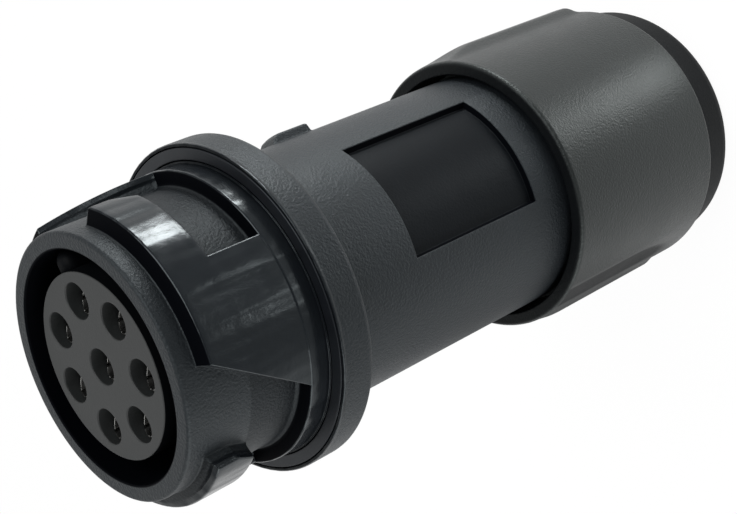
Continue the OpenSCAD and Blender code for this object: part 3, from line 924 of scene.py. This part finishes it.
def radius_and_height(finish):
    """Distance from the axis, as the root of x^2 + y^2, and height above the floor."""
    x, y, z = finish.parts(finish.place(), "XYZ")
    return (x * x + y * y).root(), z


def shaded(colour, factor):
    """A colour made darker or lighter by a factor."""
    return tuple(c * factor for c in colour)


def shell_finish(colours, s):
    """Black nylon: polished on the bayonet tracks and spark-textured on rim, flange and barrel, with painted
    shade,
    flat black, in the deep places: in the bore, in the pocket, in the label window and on walls that face the
    mate."""
    f = new_finish("shell_black_nylon")
    at = Levels(s)
    r, z = radius_and_height(f)
    x, = f.parts(f.place(), "X")
    upward, = f.parts(f.node("TexCoord", output="Normal"), "Z")
    behind_rim = 1 - f.above(z, s.rim_height, -0.55, -0.40)
    mating = f.above(z, at.flange, -0.25, 0.05) * behind_rim * f.above(r, s.rim_radius, -0.55, -0.35)
    tops = mating * f.above(r, s.track_radius, -0.6, -0.3)
    pocket = mating * (1 - f.above(r, s.rim_radius, 0.05, 0.25)) * (1 - f.above(z, at.rib_low, -0.1, 0.1))
    bore = f.above(z, at.clip, 0, 1) * (1 - f.above(r, s.bore_radius, 0.07, 0.15))
    # Near the rim on the -X side the walls get less painted shade, because they are lit from the floor below
    lit_side = f.above(z, s.rim_height, -3.5, -2.5) * (1 - f.above(x, 0, -7, -4))
    walls = f.range(upward, 0.75, 0.95) * f.above(z, at.flange, -0.25, 0.15) * behind_rim * (1 - 0.65 * lit_side)
    label_high = s.label_low + s.label_length
    label_rows = f.above(z, s.label_low, -0.15, -0.05) * (1 - f.above(z, label_high, 0, 0.1))
    under_barrel = f.above(r, s.barrel_radius, -0.95, -0.85) * (1 - f.above(r, s.barrel_radius, -0.11, -0.03))
    window = label_rows * under_barrel
    window_walls = window * f.above(r, s.barrel_radius, -0.48, -0.44)
    grain = f.noise(6200, 3.0)
    cloud = f.noise(420, 3.0)
    flow = f.noise(800, 4.0)
    drawn = f.node("Mapping", None, {"Vector": f.place(), "Scale": (1.0, 1.0, 0.14)})
    sink = f.noise(620, 1.0, drawn)
    rough = 0.49 + 0.10 * (cloud - 0.5) + 0.12 * (grain - 0.5)
    rough = rough + (0.22 + 0.16 * (flow - 0.5) - rough) * tops
    rough = rough + (0.45 - rough) * window
    relief = grain * (1 - 0.92 * tops.most(0.7 * window)) + (0.35 + 0.10 * tops) * flow + 4.0 * tops * sink
    base = f.blend(cloud, shaded(colours.shell, 0.75), shaded(colours.shell, 1.35))
    # Painted shade: flat black in the bore, on walls that face the mate, in the pocket, and in the label
    # window and on its walls
    painted_shade = bore.most(walls).most(0.3 * pocket).most(0.72 * window).most(window_walls)
    return f.surface(painted_shade, Base_Color=base, Roughness=rough, Specular_IOR_Level=0.44,
                     Specular_Tint=(0.86, 0.97, 1.0, 1.0), Normal=f.bump(relief, 0.070 * MM, 0.9))


def nut_finish(colours, s):
    """Black nylon with a fine spark texture, worn a little smoother in patches, and painted flat black as
    shade and painted dark reflection in the scallops, on the face of the mouth and on the back."""
    f = new_finish("nut_black_nylon")
    r, z = radius_and_height(f)
    back = 1 - f.above(z, s.back_length, -0.22, -0.08)
    mouth = f.above(z, s.length, -0.2, -0.1) * (1 - f.above(r, s.radius, -0.25, -0.15))
    under_side = f.above(r, s.radius, -0.7, -0.6) * (1 - f.above(r, s.radius, -0.20, -0.06))
    scallop = f.above(z, s.grip_low, 0, 0.3) * under_side
    grain = f.noise(7200, 3.0)
    cloud = f.noise(350, 3.0)
    base = f.blend(cloud, shaded(colours.nut, 0.8), shaded(colours.nut, 1.3))
    rough = 0.39 + 0.12 * (cloud - 0.5) + 0.14 * (grain - 0.5)
    # Painted shade and painted dark reflection: flat black on the back, the face of the mouth and the
    # scallops
    painted_shade = (0.8 * back).most(0.7 * mouth).most(0.6 * scallop)
    relief = f.bump(grain + 0.6 * cloud, 0.045 * MM, 0.9)
    return f.surface(painted_shade, Base_Color=base, Roughness=rough, Specular_IOR_Level=0.42,
                     Specular_Tint=(0.90, 1.0, 0.98, 1.0), Normal=relief)


def insert_finish(name, colours, s, shell):
    """Dark grey filled plastic, matt, with fine pale specks of filler, and painted shade, nearly flat black,
    down its outer side in the narrow gap.
    """
    f = new_finish(name)
    r, z = radius_and_height(f)
    below_face = f.above(z, Levels(shell).clip, 0, 1) * (1 - f.above(z, s.face_height, -0.07, -0.03))
    side = f.above(r, s.radius, -0.45, -0.35) * below_face
    grain = f.noise(7000, 3.0)
    cloud = f.noise(500, 2.0)
    speck = f.range(f.noise(16000, 1.0), 0.66, 0.74)
    base = f.blend(cloud, shaded(colours.insert, 0.95), shaded(colours.insert, 1.35))
    base = f.blend(0.25 * speck, base, shaded(colours.insert, 3.0))
    # The outer side below the face is painted with shade
    return f.surface(0.9 * side, Base_Color=base, Roughness=0.52 + 0.1 * (cloud - 0.5),
                     Normal=f.bump(grain, 0.016 * MM, 0.7))


def rubber_finish(colours):
    """Black moulded rubber with a dry, finely mottled skin."""
    f = new_finish("seal_black_rubber")
    grain = f.noise(6000, 4.0)
    cloud = f.noise(600, 2.0)
    base = f.blend(cloud, shaded(colours.rubber, 0.8), shaded(colours.rubber, 1.4))
    return f.surface(Base_Color=base, Roughness=0.45 + 0.12 * (cloud - 0.5), Specular_IOR_Level=0.45,
                     Specular_Tint=(0.85, 0.93, 1.0, 1.0), Normal=f.bump(grain, 0.012 * MM, 0.6))


def metal_finish(name, shade, rough, grain_scale):
    """Plated metal, dulled in patches, with a fine drawn grain."""
    f = new_finish(name)
    drawn = f.node("Mapping", None, {"Vector": f.place(), "Scale": (1.0, 1.0, 0.12)})
    grain = f.noise(grain_scale, 3.0, drawn)
    cloud = f.noise(1500, 3.0)
    base = f.blend(cloud, shaded(shade, 0.7), shaded(shade, 1.15))
    return f.surface(Base_Color=base, Metallic=1.0, Roughness=rough + 0.18 * (cloud - 0.5),
                     Normal=f.bump(grain, 0.006 * MM, 0.6))


def paint(node, material):
    """Gives a solid that stays visible its finish."""
    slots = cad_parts[node].data.materials
    slots.clear()
    slots.append(material)


# Operators

class BuildShell(bpy.types.Operator):
    """Builds the coupling shell with its bayonet tracks"""
    bl_idname = "connector.build_shell"
    bl_label = "Coupling shell"

    def execute(self, context):
        c = context.scene.connector
        add_piece("coupling_shell_skin", shell_surface(c.shell), shell_finish(c.colours, c.shell),
                  "housing", "coupling_shell")
        return {"FINISHED"}


class BuildInsert(bpy.types.Operator):
    """Builds the contact insert with its holes and key"""
    bl_idname = "connector.build_insert"
    bl_label = "Contact insert"

    def execute(self, context):
        c = context.scene.connector
        patches = insert_surface(c.insert, c.shell) + key_surface(c.insert, c.shell)
        grey = insert_finish("insert_grey_plastic", c.colours, c.insert, c.shell)
        add_piece("contact_insert_skin", patches, grey, "housing", "contact_insert")
        return {"FINISHED"}


class BuildNut(bpy.types.Operator):
    """Builds the gland nut with its grips and thread"""
    bl_idname = "connector.build_nut"
    bl_label = "Gland nut"

    def execute(self, context):
        c = context.scene.connector
        add_piece("gland_nut_skin", nut_surface(c.nut, c.shell), nut_finish(c.colours, c.nut),
                  "nut", "gland_nut")
        return {"FINISHED"}


class BuildRubber(bpy.types.Operator):
    """Builds the flange gasket and the cable gland, and finishes the face seal"""
    bl_idname = "connector.build_rubber"
    bl_label = "Rubber rings"

    def execute(self, context):
        c = context.scene.connector
        s, g = c.shell, c.gland
        rubber = rubber_finish(c.colours)
        flange = Levels(s).flange
        outer = s.flange_radius - GASKET_LIP - LOOSE
        inner = outer - GASKET_WIDTH + 2 * LOOSE
        edge = 0.08 * MM
        gasket = ring_surface([
            (inner, flange - GASKET_DEPTH, edge), (outer, flange - GASKET_DEPTH, edge),
            (outer, flange, edge), (inner, flange, edge)], columns=180)
        add_piece("flange_gasket_skin", gasket, rubber, "housing", "flange_gasket")
        gland = ring_surface([
            (g.cable_radius, g.low, 0.25 * MM), (g.sleeve_radius, g.low, 0.2 * MM),
            (g.sleeve_radius, g.plug_low, 0.1 * MM), (g.plug_radius, g.plug_low, 0.2 * MM),
            (g.plug_radius, g.top, 0.45 * MM), (g.cable_radius, g.top, 0.45 * MM)])
        add_piece("cable_gland_skin", gland, rubber, "gland", "cable_gland")
        paint("face_seal", rubber)
        return {"FINISHED"}


class BuildContacts(bpy.types.Operator):
    """Builds the socket contacts: one in the middle, the others clockwise round the ring"""
    bl_idname = "connector.build_contacts"
    bl_label = "Socket contacts"

    def execute(self, context):
        c = context.scene.connector
        s = c.insert
        tin = metal_finish("contact_tin_plate", c.colours.tin, 0.27, 9000)
        ring = s.ring_turn - np.arange(s.ring_count) * TAU / s.ring_count
        for i, (turn, away) in enumerate([(0.0, 0.0)] + [(t, s.ring_radius) for t in ring]):
            node = "socket_contact_%d" % (i + 1)
            add_piece(node + "_skin", contact_surface(c.contact, s, c.shell, turn, away), tin,
                      "housing", node)
        return {"FINISHED"}


class FinishFittings(bpy.types.Operator):
    """Finishes the clip and the gland cage, which keep their solids"""
    bl_idname = "connector.finish_fittings"
    bl_label = "Clip and cage"

    def execute(self, context):
        c = context.scene.connector
        paint("insert_clip", metal_finish("clip_spring_steel", c.colours.steel, 0.30, 12000))
        paint("gland_cage", insert_finish("cage_grey_plastic", c.colours, c.insert, c.shell))
        return {"FINISHED"}


# Stage

WHITE = 1.03          # strength at which the floor shows as white
# The floor's weaker glow towards the camera is a painted dark reflection, which only gloss sees
FRONT_GLOW = 0.28     # strength of the floor towards the camera, as gloss sees it
FLOOR_GLOW = 0.93     # share of glow in what the camera and gloss see of the floor; the rest takes shadow

# Lamps: name, place and aim, width and height in metres, and power in watts
KEY_LAMP = ("key_strip", (0.066, -0.026, 0.018), (0.006, -0.007, 0.047), 0.012, 0.034, 0.034)
SOFT_LAMPS = (
    ("sky_soft", (0.16, -0.12, 0.34), (0.0, 0.0, 0.03), 0.30, 0.30, 0.9),
    ("fill_soft", (-0.22, -0.05, 0.10), (0.0, 0.0, 0.03), 0.22, 0.22, 0.35),
)

# Strips just above the floor that shine upwards: name, bearing in degrees, distance from the axis, length
# and width in millimetres, and power in watts
STRIPS = (
    ("low_strip", -71, 49, 72, 5, 0.0050),
    ("side_strip", -92, 68, 14, 8, 0.0017),
    ("far_strip", -106, 68, 14, 4, 0.0014),
)


def seen_ray(finish):
    """1 for rays that the camera, a gloss or a glass sends, so that they all see the same background."""
    camera, gloss, glass = (
        finish.node("LightPath", output="Is %s Ray" % name) for name in ("Camera", "Glossy", "Transmission"))
    return camera.most(gloss).most(glass)


def floor_finish(colours):
    """Pale floor that shows white to the camera and keeps some shadow.

    For gloss it glows less towards the camera, as a painted dark reflection, and in a patch beside the part,
    as a painted shadow.
    """
    f = new_finish("stage_floor")
    x, y = f.parts(f.place(), "XY")
    # Painted shadow on the floor beside the part, which only gloss sees
    shadow_patch_x = f.above(x, 0, -56, -44) * (1 - f.above(x, 0, -15, -9))
    shadow_patch_y = f.above(y, 0, -2, 4) * (1 - f.above(y, 0, 26, 36))
    strength = f.range(y, -60 * MM, -12 * MM, FRONT_GLOW, WHITE) * (1 - 0.6 * (shadow_patch_x * shadow_patch_y))
    camera_ray = f.node("LightPath", output="Is Camera Ray")
    glow = f.node("Emission", None, {"Strength": (WHITE * camera_ray).most(strength)})
    plain = f.node("BsdfDiffuse", None, {"Color": (*colours.floor, 1.0)})
    mix = f.node("MixShader", None, {0: FLOOR_GLOW * seen_ray(f), 1: plain, 2: glow})
    f.node("OutputMaterial", None, {"Surface": mix})
    return f.owner


def add_floor(colours, size):
    """A square floor at height 0, which moves with the gland because the part stands on its nut."""
    corner = size * np.array([[-1, -1, 0], [1, -1, 0], [1, 1, 0], [-1, 1, 0]], float)
    mesh = bpy.data.meshes.new("floor")
    mesh.from_pydata(corner, (), np.array([[0, 1, 2, 3]]))
    mesh.materials.append(floor_finish(colours))
    floor = bpy.data.objects.new("floor", mesh)
    bpy.context.scene.collection.objects.link(floor)
    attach(floor, "gland")


def add_world():
    """A pale world that is white to the camera and darker towards the camera's side for the rest."""
    world = bpy.data.worlds.new("stage_world")
    bpy.context.scene.world = world
    w = Finish(world)
    away, = w.parts(w.node("TexCoord", output="Generated"), "Y")
    camera_ray = w.node("LightPath", output="Is Camera Ray")
    strength = w.range(away, 0.1, 0.8, 0.22, 1.0)
    background = w.node("Background", None, {"Strength": camera_ray.most(strength)})
    w.node("OutputWorld", None, {"Surface": background})


def add_lamp(name, place, aim, width, height, power):
    """A soft lamp at a place, turned towards a point."""
    light = bpy.data.lights.new(name, "AREA")
    light.shape, light.size, light.size_y, light.energy = "RECTANGLE", width, height, power
    lamp = bpy.data.objects.new(name, light)
    lamp.location = place
    lamp.rotation_euler = (Vector(aim) - Vector(place)).to_track_quat("-Z", "Y").to_euler()
    bpy.context.scene.collection.objects.link(lamp)
    return lamp


def add_strip(name, bearing, reach, long, wide, power):
    """A strip of light near the floor that shines upwards, with its length along a bearing from the axis.

    The camera doesn't see it.
    """
    turn = math.radians(bearing)
    x, y = reach * MM * math.cos(turn), reach * MM * math.sin(turn)
    low, high = 1 * MM, 10 * MM
    strip = add_lamp(name, (x, y, low), (x, y, high), long * MM, wide * MM, power)
    strip.rotation_euler = (math.pi, 0.0, turn)
    strip.visible_camera = False


def add_camera(s):
    """The camera at the photograph's place: it looks along its heading and tilt and is then rolled."""
    data = bpy.data.cameras.new("photo_camera")
    data.lens, data.sensor_width, data.sensor_fit = s.lens, 36.0, "HORIZONTAL"
    data.clip_start, data.clip_end = 0.005, 20.0
    camera = bpy.data.objects.new("photo_camera", data)
    level = math.cos(s.tilt)
    ahead = Vector((-math.sin(s.heading) * level, math.cos(s.heading) * level, -math.sin(s.tilt)))
    camera.location = s.camera
    camera.rotation_mode = "QUATERNION"
    camera.rotation_quaternion = ahead.to_track_quat("-Z", "Y") @ Quaternion((0, 0, 1), s.roll)
    bpy.context.scene.collection.objects.link(camera)
    bpy.context.scene.camera = camera


class BuildStage(bpy.types.Operator):
    """Adds the floor, the light and the camera"""
    bl_idname = "connector.build_stage"
    bl_label = "Stage"

    def execute(self, context):
        c = context.scene.connector
        add_floor(c.colours, c.stage.floor_size)
        add_world()
        add_lamp(*KEY_LAMP)
        for strip in STRIPS:
            add_strip(*strip)
        for lamp in SOFT_LAMPS:
            add_lamp(*lamp)
        add_camera(c.stage)
        context.scene.view_settings.view_transform = "Standard"
        return {"FINISHED"}


class ConnectorPanel(bpy.types.Panel):
    """Lists the connector's pieces and sizes"""
    bl_idname = "VIEW3D_PT_connector"
    bl_label = "Circular connector"
    bl_space_type = "VIEW_3D"
    bl_region_type = "UI"
    bl_category = "Connector"

    def draw(self, context):
        for operator in OPERATORS:
            self.layout.operator(operator.bl_idname)
        settings = context.scene.connector
        for group in ("shell", "insert", "contact", "nut", "gland", "colours", "stage"):
            box = self.layout.box()
            box.label(text=group.capitalize())
            values = getattr(settings, group)
            for name in values.__annotations__:
                box.prop(values, name)


OPERATORS = (BuildShell, BuildInsert, BuildContacts, BuildNut, BuildRubber, FinishFittings, BuildStage)
CLASSES = (ShellSizes, InsertSizes, ContactSizes, NutSizes, GlandSizes, FinishColours, StageSettings,
           ConnectorSettings, *OPERATORS, ConnectorPanel)


def register():
    """Registers the classes and the scene's settings."""
    for cls in CLASSES:
        bpy.utils.register_class(cls)
    bpy.types.Scene.connector = PointerProperty(type=ConnectorSettings)


def unregister():
    """Takes the settings and the classes away again."""
    del bpy.types.Scene.connector
    for cls in reversed(CLASSES):
        bpy.utils.unregister_class(cls)


def main():
    """Builds all pieces and the stage."""
    register()
    bpy.ops.connector.build_shell()
    bpy.ops.connector.build_insert()
    bpy.ops.connector.build_contacts()
    bpy.ops.connector.build_nut()
    bpy.ops.connector.build_rubber()
    bpy.ops.connector.finish_fittings()
    bpy.ops.connector.build_stage()


if __name__ == "__main__":
    main()
